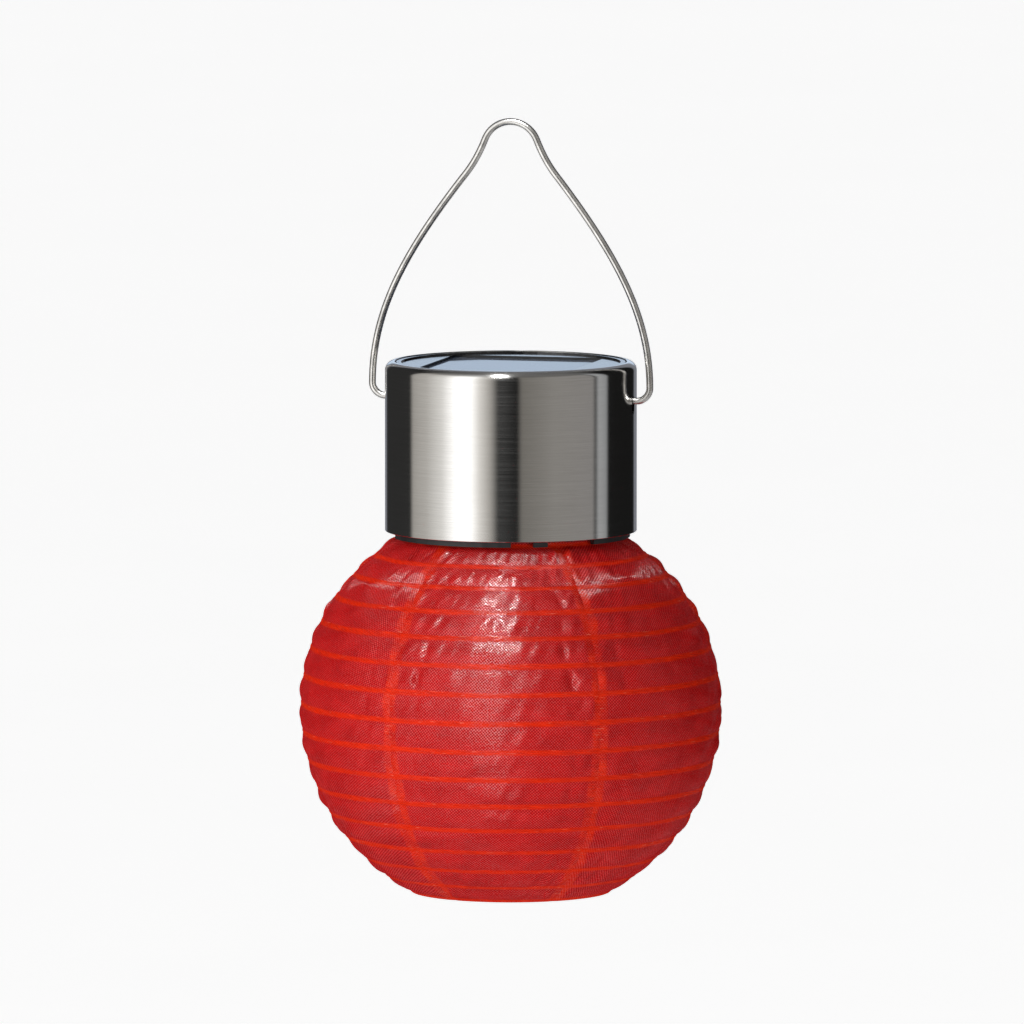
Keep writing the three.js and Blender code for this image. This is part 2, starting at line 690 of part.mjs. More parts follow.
/** The tube that holds the light below the cap, with a neck through the base plate. */
function ledTurret() {
  const outer = TURRET_D / 2;
  const bore = outer - TURRET_WALL;
  const flange = TURRET_FLANGE_D / 2;
  const neck = TURRET_NECK_D / 2;
  const seat = PLATE_Z - GAP;
  const hole = LED_D / 2 + GAP;
  const profile = closed([
    [hole, TURRET_Z],
    [outer, TURRET_Z],
    [outer, seat - TURRET_WALL],
    [flange, seat - TURRET_WALL],
    [flange, seat],
    [neck, seat],
    [neck, seat + TURRET_NECK_H],
    [neck - TURRET_WALL, seat + TURRET_NECK_H],
    [neck - TURRET_WALL, seat - TURRET_WALL],
    [bore, seat - 2 * TURRET_WALL],
    [bore, TURRET_Z + TURRET_WALL],
    [hole, TURRET_Z + TURRET_WALL],
  ]);
  return turned(profile, 24);
}

/** The 5 mm light with its dome down. */
function led() {
  const radius = LED_D / 2;
  const tip = TURRET_Z - LED_OUT;
  const dome = around(4, (i) => {
    const angle = (Math.PI / 2) * (i / 4);
    return [radius * Math.sin(angle), tip + radius * (1 - Math.cos(angle))];
  });
  const profile = [
    ...dome,
    [radius, tip + radius],
    [radius, LED_SEAT],
    [radius + LED_RIM, LED_SEAT],
    [radius + LED_RIM, LED_SEAT + LED_RIM_T],
    [0, LED_SEAT + LED_RIM_T],
  ];
  return turned(profile, 16);
}

// Leads

/** A lead from a place on the lantern, over at a height, down to its pad on the circuit board. */
function lead(x, y, z, cruise, padX) {
  const start = new THREE.Vector3(x, y, z);
  const pad = new THREE.Vector3(padX, PCB.y + PCB.depth / 2 - PAD_INSET, PCB_TOP + GAP);
  const points = [
    start,
    start.clone().setZ(z + Math.sign(cruise - z) * LEAD_STUB),
    start.clone().lerp(pad, LEAD_TURN).setZ(cruise),
    pad.clone().setZ(cruise - LEAD_STUB).add(new THREE.Vector3(0, PAD_INSET, 0)),
    pad.clone().setZ(pad.z + LEAD_STUB),
    pad,
  ];
  return rod(new THREE.CatmullRomCurve3(points), LEAD_D, 16, 5);
}

function addLeads() {
  const ledBack = LED_SEAT + LED_RIM_T + GAP;
  const overBoard = PCB_TOP + OVER_BOARD;
  const overBox = BOX_TOP + BOX_WALL + OVER_BOX;
  const underPanel = BOX_TOP + BOX_WALL + UNDER_PANEL;
  ["red", "black"].forEach((colour, i) => {
    const paint = colour === "red" ? leadRed : leadBlack;
    const side = 2 * i - 1;
    const fromLed = lead(side * LED_PIN, 0, ledBack, overBoard, LEAD_PADS.led[i]);
    const boxX = BATTERY_LEAD_X[colour];
    const fromBattery = lead(boxX, BATTERY_Y, BOX_TOP - GAP, overBox, LEAD_PADS.battery[i]);
    const fromPanel = lead(side * PANEL_LEAD_X, 0, BOARD_Z - GAP, underPanel, LEAD_PADS.panel[i]);
    add(`led_lead_${colour}`, fromLed, paint);
    add(`battery_lead_${colour}`, fromBattery, paint);
    add(`panel_lead_${colour}`, fromPanel, paint);
  });
}

add("base_housing", baseHousing(), blackMatt);
add("battery_door", batteryDoor(), blackMatt);
addScrew("door_screw", EAR_X, BATTERY_Y);
addScrew("case_screw_left", -SCREW_X, 0);
addScrew("case_screw_right", SCREW_X, 0);
addBattery();
addCircuit();
addSwitch();
add("led_turret", ledTurret(), blackMatt);
add("led", led(), clearLens);
addLeads();

// Bail

/** The wire's middle line: tails through the slots, bowed legs, a kinked neck and a round crown. */
function bailCurve() {
  const at = (x, rise) => new THREE.Vector3(x, 0, PIVOT_Z + rise);
  const leg = CAP_R + BAIL_CLEAR + BAIL_WIRE / 2;
  const neckRise = BAIL_RISE - BAIL_NECK_DROP;
  const sin = Math.sin(BAIL_CROWN_SLOPE);
  const cos = Math.cos(BAIL_CROWN_SLOPE);
  const side = [BAIL_CROWN_R * cos, BAIL_RISE - BAIL_CROWN_R * (1 - sin)];
  const alongLeg = (length) =>
    at(
      BAIL_NECK_W - Math.sin(BAIL_NECK_SLOPE) * length,
      neckRise + Math.cos(BAIL_NECK_SLOPE) * length,
    );
  const alongCrown = (length) => at(side[0] - sin * length, side[1] + cos * length);
  const handle = (4 / 3) * Math.tan((Math.PI / 2 - BAIL_CROWN_SLOPE) / 4) * BAIL_CROWN_R;
  const stations = [
    at(leg - BAIL_BEND_R, 0), at(leg, BAIL_BEND_R), alongLeg(0), alongCrown(0), at(0, BAIL_RISE),
  ];
  const handles = [
    [at(leg - BAIL_BEND_R / 2, 0), at(leg, BAIL_BEND_R / 2)],
    [at(leg, BAIL_BOW), alongLeg(-BAIL_LEG_PULL * neckRise)],
    [alongLeg(BAIL_NECK_PULL * BAIL_NECK_DROP), alongCrown(-BAIL_CROWN_PULL * BAIL_NECK_DROP)],
    [alongCrown(handle), at(handle, BAIL_RISE)],
  ];
  const half = new THREE.CurvePath();
  half.add(new THREE.LineCurve3(at(CAP_R - BAIL_TAIL, 0), stations[0]));
  handles.forEach(([leave, arrive], i) => {
    half.add(new THREE.CubicBezierCurve3(stations[i], leave, arrive, stations[i + 1]));
  });
  const right = half.getSpacedPoints(BAIL_STEPS);
  const left = right.map((p) => new THREE.Vector3(-p.x, 0, p.z));
  return new THREE.CatmullRomCurve3([...left, ...right.slice(0, -1).reverse()]);
}

add("bail_wire", rod(bailCurve(), BAIL_WIRE, 2 * BAIL_STEPS, 8), wireSteel);

export default lantern;
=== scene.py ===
"""Hanging solar lantern: red cloth shade on wire hoops under a steel cap. Metres, +Z up, front at -Y."""

import json
import math

import bpy
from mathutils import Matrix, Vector, noise


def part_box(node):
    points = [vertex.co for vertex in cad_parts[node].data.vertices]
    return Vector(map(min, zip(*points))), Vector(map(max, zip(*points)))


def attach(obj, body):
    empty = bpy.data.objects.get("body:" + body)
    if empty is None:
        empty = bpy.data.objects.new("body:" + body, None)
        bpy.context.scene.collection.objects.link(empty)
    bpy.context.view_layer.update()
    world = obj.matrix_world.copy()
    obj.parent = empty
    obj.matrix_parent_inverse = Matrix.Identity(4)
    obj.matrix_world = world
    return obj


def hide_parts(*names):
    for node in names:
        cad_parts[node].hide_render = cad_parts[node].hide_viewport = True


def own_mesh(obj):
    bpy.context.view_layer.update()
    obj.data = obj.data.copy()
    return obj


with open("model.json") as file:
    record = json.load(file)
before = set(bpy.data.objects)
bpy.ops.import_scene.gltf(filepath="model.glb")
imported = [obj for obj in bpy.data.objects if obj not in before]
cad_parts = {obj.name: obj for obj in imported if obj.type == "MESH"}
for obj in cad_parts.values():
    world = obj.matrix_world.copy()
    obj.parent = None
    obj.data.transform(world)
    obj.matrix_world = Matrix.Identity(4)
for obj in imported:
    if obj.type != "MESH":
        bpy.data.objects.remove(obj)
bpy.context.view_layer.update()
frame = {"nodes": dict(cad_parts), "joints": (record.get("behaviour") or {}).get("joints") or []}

MM = 0.001
TAU = 2 * math.pi
HOOP_COUNT = 14
HOOPS = [f"hoop_{i:02d}" for i in range(1, HOOP_COUNT + 1)]
GORES = 6
SEAM_ANGLE = math.radians(-21)  # first seam, from the front towards +X
VIEW = 14  # bearing of the camera, in degrees from the front towards +X

JOINTS = {joint["name"]: joint for joint in frame["joints"]}


def middle(name):
    low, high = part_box(name)
    return [(a + b) / 2 for a, b in zip(low, high)]


def radius_of(name):
    """Outside radius of a round node about the lantern's axis."""
    return max(abs(v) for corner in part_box(name) for v in corner[:2])


# Heights and radii read from the frame
FOOT_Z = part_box("foot_disc")[0][2]
CAP_LOW, CAP_HIGH = (corner[2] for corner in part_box("cap_shell"))
CAP_R = radius_of("cap_shell")
COLLAR_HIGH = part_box("collar")[1][2]
BAIL_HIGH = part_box("bail_wire")[1][2]
WIRE_R = 0.5 * MM  # hoops and rings


# Node helpers


def add(tree, kind, inputs=None, **settings):
    """Adds a node, sets its properties, and sets or links its inputs."""
    made = tree.nodes.new("ShaderNode" + kind)
    for key, value in settings.items():
        setattr(made, key, value)
    for key, value in (inputs or {}).items():
        if isinstance(value, bpy.types.NodeSocket):
            tree.links.new(value, made.inputs[key])
        else:
            made.inputs[key].default_value = value
    return made


def maths(tree, operation, first, second=0.0, third=0.0):
    """The result of a Math node."""
    inputs = {0: first, 1: second, 2: third}
    return add(tree, "Math", inputs, operation=operation).outputs[0]


def ramp(tree, value, stops):
    """A colour ramp from (position, brightness or colour) stops."""
    made = add(tree, "ValToRGB", {0: value})
    elements = made.color_ramp.elements
    while len(elements) < len(stops):
        elements.new(0.5)
    for element, (position, colour) in zip(elements, stops):
        element.position = position
        if not isinstance(colour, tuple):
            colour = (colour, colour, colour)
        element.color = (*colour, 1)
    return made.outputs[0]


def mix(tree, share, first, second, blend="MIX"):
    """Two colours mixed, each one a socket or red, green and blue."""
    made = add(tree, "MixRGB", {0: share}, blend_type=blend)
    for key, value in ((1, first), (2, second)):
        if isinstance(value, bpy.types.NodeSocket):
            tree.links.new(value, made.inputs[key])
        else:
            made.inputs[key].default_value = (*value, 1)
    return made.outputs[0]


def noise_of(tree, vector, scale, detail=3.0, roughness=0.5):
    inputs = {"Vector": vector, "Scale": scale, "Detail": detail, "Roughness": roughness}
    return add(tree, "TexNoise", inputs).outputs[0]


def stretched(tree, vector, scale):
    return add(tree, "Mapping", {"Vector": vector, "Scale": scale}).outputs[0]


def object_space(tree, scale=(1, 1, 1)):
    return stretched(tree, add(tree, "TexCoord").outputs["Object"], scale)


def bump(tree, height, distance, strength=1.0):
    inputs = {"Height": height, "Distance": distance, "Strength": strength}
    return add(tree, "Bump", inputs).outputs[0]


def new_material(name):
    made = bpy.data.materials.new(name)
    made.use_nodes = True
    made.node_tree.nodes.clear()
    return made, made.node_tree


def finish_material(tree, shader):
    output = add(tree, "OutputMaterial")
    tree.links.new(shader, output.inputs["Surface"])


# Materials


def brushed_steel():
    """Steel with fine brush lines round the drum, which smear reflections up and down."""
    made, tree = new_material("brushed_steel")
    coarse = noise_of(tree, object_space(tree, (60, 60, 9000)), 1.0, 4)
    fine = noise_of(tree, object_space(tree, (200, 200, 42000)), 1.0, 2)
    stain = noise_of(tree, object_space(tree), 70, 3)
    streak = mix(tree, 0.5, coarse, fine)
    colour = ramp(tree, streak, [(0.3, (0.66, 0.645, 0.62)), (0.7, (0.84, 0.825, 0.80))])
    colour = mix(tree, 0.10, colour, ramp(tree, stain, [(0.35, 0.5), (0.7, 0.85)]))
    inputs = {
        "Base Color": colour,
        "Metallic": 1.0,
        "Roughness": add(tree, "MapRange", {0: coarse, 1: 0.3, 2: 0.7, 3: 0.10, 4: 0.15}).outputs[0],
        "Anisotropic": 0.85,
        "Anisotropic Rotation": 0.25,
        "Tangent": add(tree, "Tangent", direction_type="RADIAL", axis="Z").outputs[0],
        "Normal": bump(tree, streak, 0.000008, 0.25),
    }
    finish_material(tree, add(tree, "BsdfPrincipled", inputs).outputs[0])
    return made


def drawn_wire(name, base, rough):
    """Steel wire with faint drawing lines and small dull patches."""
    made, tree = new_material(name)
    patches = noise_of(tree, object_space(tree), 420, 4)
    fine = noise_of(tree, object_space(tree), 5200, 2)
    dark = tuple(0.72 * v for v in base)
    colour = ramp(tree, patches, [(0.35, dark), (0.65, base)])
    roughness = add(tree, "MapRange", {0: fine, 1: 0.3, 2: 0.7, 3: rough, 4: rough + 0.10}).outputs[0]
    inputs = {
        "Base Color": colour,
        "Metallic": 1.0,
        "Roughness": roughness,
        "Normal": bump(tree, fine, 0.00002, 0.25),
    }
    finish_material(tree, add(tree, "BsdfPrincipled", inputs).outputs[0])
    return made


def moulded(name, base, rough, grain, coat=0.0):
    """Moulded plastic with a fine surface grain and slight mottling."""
    made, tree = new_material(name)
    mottle = noise_of(tree, object_space(tree), 160, 3)
    pits = noise_of(tree, object_space(tree), 3800, 3)
    light = tuple(min(1.0, 1.5 * v + 0.004) for v in base)
    colour = ramp(tree, mottle, [(0.35, base), (0.7, light)])
    roughness = add(tree, "MapRange", {0: pits, 1: 0.3, 2: 0.7, 3: rough, 4: rough + 0.12}).outputs[0]
    inputs = {
        "Base Color": colour,
        "Roughness": roughness,
        "Coat Weight": coat,
        "Coat Roughness": 0.05,
        "Normal": bump(tree, pits, 0.00004, grain),
    }
    finish_material(tree, add(tree, "BsdfPrincipled", inputs).outputs[0])
    return made


def silicon():
    """Blue polycrystalline cell with silver collector lines."""
    made, tree = new_material("silicon")
    finger_pitch, finger_share = 1.6 * MM, 0.09
    bar_gap, bar_half = 2.31 * MM, 0.28 * MM
    place = object_space(tree)
    grains = add(tree, "TexVoronoi", {"Vector": place, "Scale": 420}).outputs["Color"]
    shade = add(tree, "RGBToBW", {0: grains}).outputs[0]
    colour = ramp(tree, shade, [(0.2, (0.006, 0.012, 0.045)), (0.8, (0.02, 0.045, 0.13))])
    x, y, _ = add(tree, "SeparateXYZ", {0: place}).outputs
    fingers = maths(tree, "FRACT", maths(tree, "MULTIPLY", y, 1 / finger_pitch))
    finger = maths(tree, "LESS_THAN", fingers, finger_share)
    bars = maths(tree, "PINGPONG", maths(tree, "ADD", x, 0.1), bar_gap)
    bar = maths(tree, "LESS_THAN", bars, bar_half)
    silver = maths(tree, "MAXIMUM", finger, bar)
    colour = mix(tree, silver, colour, (0.55, 0.56, 0.58))
    inputs = {"Base Color": colour, "Roughness": 0.32, "Metallic": 0.25}
    finish_material(tree, add(tree, "BsdfPrincipled", inputs).outputs[0])
    return made


def cast_resin():
    """Clear resin over the cells: see-through from above, a mirror at low angles."""
    made, tree = new_material("cast_resin")
    waves = noise_of(tree, object_space(tree), 130, 2)
    dust = noise_of(tree, object_space(tree), 900, 4)
    normal = bump(tree, waves, 0.00006, 0.15)
    haze = ramp(tree, dust, [(0.45, 0.02), (0.8, 0.12)])
    gloss = add(tree, "BsdfPrincipled", {
        "Base Color": (0.10, 0.13, 0.19, 1), "Roughness": 0.06, "Normal": normal,
    }).outputs[0]
    clear = add(tree, "BsdfTransparent", {0: (0.93, 0.95, 1, 1)}).outputs[0]
    fresnel = add(tree, "Fresnel", {"IOR": 1.5, "Normal": normal}).outputs[0]
    share = maths(tree, "MINIMUM", maths(tree, "MULTIPLY_ADD", fresnel, 2.0, haze), 1.0)
    finish_material(tree, add(tree, "MixShader", {0: share, 1: clear, 2: gloss}).outputs[0])
    return made


def laminate():
    """Green circuit board with paler tracks."""
    made, tree = new_material("laminate")
    traces = add(tree, "TexBrick", {
        "Vector": object_space(tree), "Scale": 260, "Color1": (0.012, 0.09, 0.035, 1),
        "Color2": (0.02, 0.14, 0.055, 1), "Mortar": (0.05, 0.22, 0.1, 1), "Mortar Size": 0.03,
    }).outputs[0]
    inputs = {"Base Color": traces, "Roughness": 0.4}
    finish_material(tree, add(tree, "BsdfPrincipled", inputs).outputs[0])
    return made


def clear_lens():
    """The light's dome: clear epoxy with a milky core."""
    made, tree = new_material("clear_lens")
    cloud = noise_of(tree, object_space(tree), 300, 2)
    colour = ramp(tree, cloud, [(0.3, (0.80, 0.82, 0.80)), (0.7, (0.95, 0.96, 0.95))])
    inputs = {
        "Base Color": colour,
        "Roughness": 0.08,
        "Transmission Weight": 0.6,
        "Emission Color": (0.86, 0.93, 1.0, 1),
        "Emission Strength": 0.25,
    }
    finish_material(tree, add(tree, "BsdfPrincipled", inputs).outputs[0])
    return made


def cloth_material(index):
    """Thin woven polyester: shiny threads, see-through pinholes, brighter double layers, and frayed threads
    on the ribs and seams painted pale as glints.
    """
    made, tree = new_material(f"red_cloth_{index}")
    uv = add(tree, "UVMap", uv_map="cloth").outputs[0]
    lean = math.radians(5 + 2 * index)
    bias = add(tree, "Mapping", {"Vector": uv, "Rotation": (0, 0, lean)}).outputs[0]
    x, y, _ = add(tree, "SeparateXYZ", {0: bias}).outputs
    thread = 0.80  # spacing of the threads, in the map's millimetres
    warp = maths(tree, "SINE", maths(tree, "MULTIPLY", x, TAU / thread))
    weft = maths(tree, "SINE", maths(tree, "MULTIPLY", y, TAU / thread))
    weave = maths(tree, "MULTIPLY_ADD", maths(tree, "MULTIPLY", warp, weft), 0.5, 0.5)
    slub = noise_of(tree, stretched(tree, bias, (0.3, 3.0, 1)), 1, 4)
    cloud = noise_of(tree, stretched(tree, uv, (0.10, 0.22, 1)), 1, 4)
    grit = noise_of(tree, uv, 2.0, 3, 0.7)
    # streaks along the threads, placing the painted glints on frayed threads
    fray_glint_noise = noise_of(tree, stretched(tree, uv, (0.30, 3.2, 1)), 1, 3)
    rib = add(tree, "Attribute", attribute_name="rib").outputs["Fac"]
    seam = add(tree, "Attribute", attribute_name="seam").outputs["Fac"]
    folds = maths(tree, "MAXIMUM", rib, seam)

    single = ramp(tree, weave, [(0.30, (0.20, 0.001, 0.003)), (0.70, (0.90, 0.030, 0.030))])
    threads = ramp(tree, slub, [(0.35, (0.32, 0.003, 0.004)), (0.7, (0.74, 0.020, 0.020))])
    single = mix(tree, 0.35, single, threads)
    patches = ramp(tree, cloud, [(0.35, (0.34, 0.002, 0.004)), (0.65, (0.66, 0.016, 0.016))])
    single = mix(tree, 0.35, single, patches)
    folded = ramp(tree, slub, [(0.3, (0.56, 0.013, 0.002)), (0.7, (0.84, 0.032, 0.005))])
    overlap = maths(tree, "MULTIPLY", seam, ramp(tree, cloud, [(0.38, 0.25), (0.62, 0.85)]))
    colour = mix(tree, overlap, single, folded)
    colour = mix(tree, rib, colour, folded)
    # painted highlight: pale streaks on the ribs and seams are frayed threads, painted lighter as glints
    # where they catch the light
    fray_glint = maths(tree, "MULTIPLY", ramp(tree, fray_glint_noise, [(0.64, 0.0), (0.76, 0.75)]), folds)
    colour = mix(tree, fray_glint, colour, (0.86, 0.30, 0.20))

    height = maths(tree, "MULTIPLY_ADD", grit, 0.8, weave)
    sparks = noise_of(tree, stretched(tree, uv, (0.45, 2.2, 1)), 1, 2, 0.6)
    facing = add(tree, "LayerWeight", {"Blend": 0.35}).outputs["Facing"]
    taut = maths(tree, "SUBTRACT", 1.0, maths(tree, "MULTIPLY", rib, 0.7))
    taut = maths(tree, "MULTIPLY", taut, ramp(tree, facing, [(0.35, 1.0), (0.75, 0.0)]))
    speck = maths(tree, "MULTIPLY_ADD", weave, 0.30, maths(tree, "MULTIPLY", grit, 0.70))
    glint = maths(tree, "MULTIPLY", ramp(tree, speck, [(0.50, 0.0), (0.57, 1.0)]), taut)
    inputs = {
        "Base Color": colour,
        "Roughness": 0.60,
        "Specular IOR Level": glint,
        "Anisotropic": 1.0,
        "Anisotropic Rotation": 0.25,
        "Tangent": add(tree, "Tangent", direction_type="RADIAL", axis="Z").outputs[0],
        "Normal": bump(tree, height, 0.00003, 0.5),
        "Coat Weight": maths(tree, "MULTIPLY_ADD", glint, 0.4, 0.04),
        "Coat Roughness": 0.16,
        "Coat Normal": bump(tree, sparks, 0.00015, 1.0),
    }
    surface = add(tree, "BsdfPrincipled", inputs).outputs[0]
    through = add(tree, "BsdfTranslucent", {"Color": colour}).outputs[0]
    cloth = add(tree, "MixShader", {0: 0.25, 1: surface, 2: through}).outputs[0]
    holes = maths(tree, "MULTIPLY", ramp(tree, weave, [(0.05, 0.20), (0.35, 0.03)]),
                  maths(tree, "SUBTRACT", 1.0, folds))
    clear = add(tree, "BsdfTransparent").outputs[0]
    finish_material(tree, add(tree, "MixShader", {0: holes, 1: cloth, 2: clear}).outputs[0])
    return made


# Mesh helpers


def mesh_object(name, vertices, faces, material, smooth=True):
    data = bpy.data.meshes.new(name)
    data.from_pydata([tuple(v) for v in vertices], [], faces)
    data.validate()
    data.polygons.foreach_set("use_smooth", [smooth] * len(data.polygons))
    made = bpy.data.objects.new(name, data)
    bpy.context.scene.collection.objects.link(made)
    data.materials.append(material)
    return made


def turned(name, profile, material, count=192):
    """A closed profile of radius and height, turned about the lantern's axis."""
    rows = len(profile)
    vertices, faces = [], []
    for i in range(count):
        angle = TAU * i / count
        for radius, z in profile:
            vertices.append((radius * math.cos(angle), radius * math.sin(angle), z))
    for i in range(count):
        j = (i + 1) % count
        for k in range(rows):
            n = (k + 1) % rows
            faces.append((i * rows + k, j * rows + k, j * rows + n, i * rows + n))
    return mesh_object(name, vertices, faces, material)


def sharp_by_angle(piece, degrees):
    """Smooth shading with creases at the sharp edges."""
    data = piece.data
    data.polygons.foreach_set("use_smooth", [True] * len(data.polygons))
    data.set_sharp_from_angle(angle=math.radians(degrees))


def apply_modifiers(piece):
    """Turns the piece's modifiers into its mesh."""
    graph = bpy.context.evaluated_depsgraph_get()
    data = bpy.data.meshes.new_from_object(piece.evaluated_get(graph))
    piece.modifiers.clear()
    piece.data = data


def wire_piece(name, points, radius, material, sides):
    """Round wire along points, closed at both ends."""
    curve = bpy.data.curves.new(name, "CURVE")
    curve.dimensions = "3D"
    spline = curve.splines.new("POLY")
    spline.points.add(len(points) - 1)
    for place, point in zip(spline.points, points):
        place.co = (*point, 1)
    curve.bevel_depth = radius
    curve.bevel_resolution = sides // 4
    curve.use_fill_caps = True
    holder = bpy.data.objects.new(name + "_path", curve)
    bpy.context.scene.collection.objects.link(holder)
    graph = bpy.context.evaluated_depsgraph_get()
    data = bpy.data.meshes.new_from_object(holder.evaluated_get(graph))
    bpy.data.objects.remove(holder)
    data.materials.clear()
    data.materials.append(material)
    data.polygons.foreach_set("use_smooth", [True] * len(data.polygons))
    data.set_sharp_from_angle(angle=math.radians(50))
    made = bpy.data.objects.new(name, data)
    bpy.context.scene.collection.objects.link(made)
    return made


# Cloth shade

CLOTH_LIFT = 0.16 * MM  # cloth's middle above the wire
CLOTH_COLUMNS = 84
SPAN_ROWS = 16  # between two hoops
MOUTH_ROWS = 4  # from the collar to the top ring
BULGE = 0.42 * MM
RIB_HALF = 0.66 * MM
BEAD = 0.10 * MM
SEAM_BAND = 2.1 * MM
SEAM_FADE = 0.45 * MM
PINCH_REACH = 0.9 * MM
PINCH_DEPTH = 0.16 * MM
SWAY = 0.22 * MM  # up and down, along a hoop
MOUTH_STEP = 0.2 * MM
COLLAR_WALL = 1.7 * MM
MOUTH_TUCK = 1.5 * MM  # into the collar
HEM = [(-0.35, -0.45), (-0.95, -0.55), (-1.35, -0.2)]  # round the foot ring, in millimetres


def rib_points():
    """Where the cloth rests on each ring and hoop, from the top ring to the foot ring: radius, height."""
    names = ["top_ring", *HOOPS, "foot_ring"]
    centres = [(radius_of(n) - WIRE_R, middle(n)[2]) for n in names]
    points = []
    for i, (r, z) in enumerate(centres):
        before = centres[max(i - 1, 0)]
        after = centres[min(i + 1, len(centres) - 1)]
        along = Vector((after[0] - before[0], after[1] - before[1])).normalized()
        out = Vector((-along.y, along.x))
        points.append(Vector((r, z)) + out * (WIRE_R + CLOTH_LIFT))
    return points


def meridian():
    """Stations down the cloth: place, outward direction, length so far, height of the slack, rib share."""
    ribs = rib_points()
    mouth = ribs[0].copy()
    mouth.x = min(mouth.x + MOUTH_STEP, radius_of("collar") - COLLAR_WALL)
    stations = []
    top = Vector((mouth.x, COLLAR_HIGH - MOUTH_TUCK))
    path = [top, *ribs]
    length = 0.0
    for i in range(len(path) - 1):
        a, b = path[i], path[i + 1]
        step = b - a
        span = step.length
        along = step.normalized()
        out = Vector((-along.y, along.x))
        rows = MOUTH_ROWS if i == 0 else SPAN_ROWS
        for k in range(rows):
            t = k / rows
            near = min(t, 1 - t) * span
            rise = min(max((near - RIB_HALF) / (span / 2 - RIB_HALF), 0.0), 1.0)
            slack = 0.0 if i == 0 else math.sin(rise * math.pi / 2) ** 0.75
            bead = max(0.0, 1 - (near / RIB_HALF) ** 2)
            rib = max(0.0, min(1.0, 2.1 - 1.6 * near / RIB_HALF))
            if i == 0 and k < rows / 2:
                rib = 0.0
            stations.append((a + step * t, out, length + span * t, slack, bead, rib, i))
        length += span
    last = path[-1]
    stations.append((last, out, length, 0.0, 1.0, 1.0, len(path)))
    for x, z in HEM:
        place = last + Vector((x, z)) * MM
        stations.append((place, out, length + math.hypot(x, z) * MM, 0.0, 0.0, 1.0, len(path)))
    return stations


def wrinkle(angle, length, gore, cell, edge):
    """Puckers between the hoops, deeper and tighter near a seam, none at the seam itself."""
    round_mm, down_mm = angle * 50, length * 1000
    seed = gore * 17.3
    broad = noise.noise((round_mm / 11 + seed, down_mm / 9 + cell * 3.1, seed))
    lean = round_mm + 0.45 * down_mm
    tight = noise.noise((lean / 3.1 + seed, down_mm / 14 + cell * 5.7, 4.2 + seed))
    fine = noise.noise((lean / 1.3, down_mm / 5 + cell * 1.9, 9.7 + seed))
    gather = math.exp(-edge / (6 * MM))
    near_seam = min(1.0, edge / (2.2 * MM))
    tuck_place = (7.5 + 3 * noise.noise((seed, cell * 4.4, 3.3))) * MM
    tuck_depth = 1.1 * max(0.0, noise.noise((cell * 7.7, seed, 8.8)) + 0.25)
    tuck = tuck_depth * math.exp(-(((edge - tuck_place) / (1.1 * MM)) ** 2))
    return MM * near_seam * (0.42 * broad + (0.30 + 0.85 * gather) * tight + 0.12 * fine - tuck)


def gore_cloth(index, material):
    """One gore from seam to seam, bulging between the hoops and pinched at its seams."""
    stations = meridian()
    span = TAU / GORES
    start = SEAM_ANGLE + index * span
    columns = CLOTH_COLUMNS + 1
    vertices, uvs, ribs, seams = [], [], [], []
    for place, out, length, slack, bead, rib, cell in stations:
        for j in range(columns):
            share = 0.5 - 0.5 * math.cos(math.pi * j / CLOTH_COLUMNS)
            share = 0.35 * share + 0.65 * j / CLOTH_COLUMNS
            angle = start + span * share
            edge = min(share, 1 - share) * span * place.x
            pinch = math.exp(-((edge / PINCH_REACH) ** 2))
            swell = slack * (BULGE + wrinkle(angle, length, index, cell, edge))
            swell += BEAD * bead - PINCH_DEPTH * pinch * (0.3 + slack)
            about = (math.sin(angle) * 3.1, math.cos(angle) * 3.1, cell * 2.3)
            swaying = 0 < cell <= HOOP_COUNT and (slack or bead)
            sway = SWAY * noise.noise(about) if swaying else 0.0
            radius = place.x + out.x * swell
            z = place.y + out.y * swell + sway
            vertices.append((radius * math.sin(angle), -radius * math.cos(angle), z))
            uvs.append(((share - 0.5) * span * place.x / MM, -length / MM))
            ribs.append(min(1.0, rib * (0.9 + 0.3 * noise.noise((angle * 9, cell * 3.3, 7.1)))))
            width = SEAM_BAND * (1 + 0.35 * noise.noise((length * 160, index * 5.1, 0.4)))
            seams.append(min(max((width - edge) / SEAM_FADE + 0.5, 0.0), 1.0))
    faces = []
    for i in range(len(stations) - 1):
        for j in range(columns - 1):
            a = i * columns + j
            faces.append((a, a + columns, a + columns + 1, a + 1))
    piece = mesh_object(f"gore_cloth_{index + 1}", vertices, faces, material)
    data = piece.data
    layer = data.uv_layers.new(name="cloth")
    corners = [uvs[loop.vertex_index] for loop in data.loops]
    layer.data.foreach_set("uv", [v for pair in corners for v in pair])
    for label, values in (("rib", ribs), ("seam", seams)):
        data.attributes.new(label, "FLOAT", "POINT").data.foreach_set("value", values)
    widths = [span * s[0].x for s in stations]
    lengths = [s[2] for s in stations]
    area = sum(
        (widths[i] + widths[i + 1]) / 2 * (lengths[i + 1] - lengths[i]) for i in range(len(stations) - 1)
    )
    return piece, (max(widths), lengths[-1]), area


def build_shade():
    for index in range(GORES):
        piece, flat, area = gore_cloth(index, cloth_material(index))
        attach(piece, "shade_top")
        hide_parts(f"gore_{index + 1}")
        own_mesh(piece)


# Cap

SHOULDER = 2.3 * MM
WALL = 0.5 * MM
EDGE = 0.12 * MM
LIP_R = 30 * MM
SLOT = (2.6 * MM, 4.6 * MM)  # width, height
SLOT_CLEAR = 0.3 * MM  # over the wire
PIVOT_Z = JOINTS["bail_hinge"]["pos_m"][2]
BAIL_R = 0.9 * MM


def shoulder(radius, steps=10):
    """The quarter round at the drum's top, from the side to the top."""
    middle_r, middle_z = CAP_R - SHOULDER, CAP_HIGH - SHOULDER
    angles = [math.pi / 2 * i / steps for i in range(steps + 1)]
    return [(middle_r + radius * math.cos(a), middle_z + radius * math.sin(a)) for a in angles]


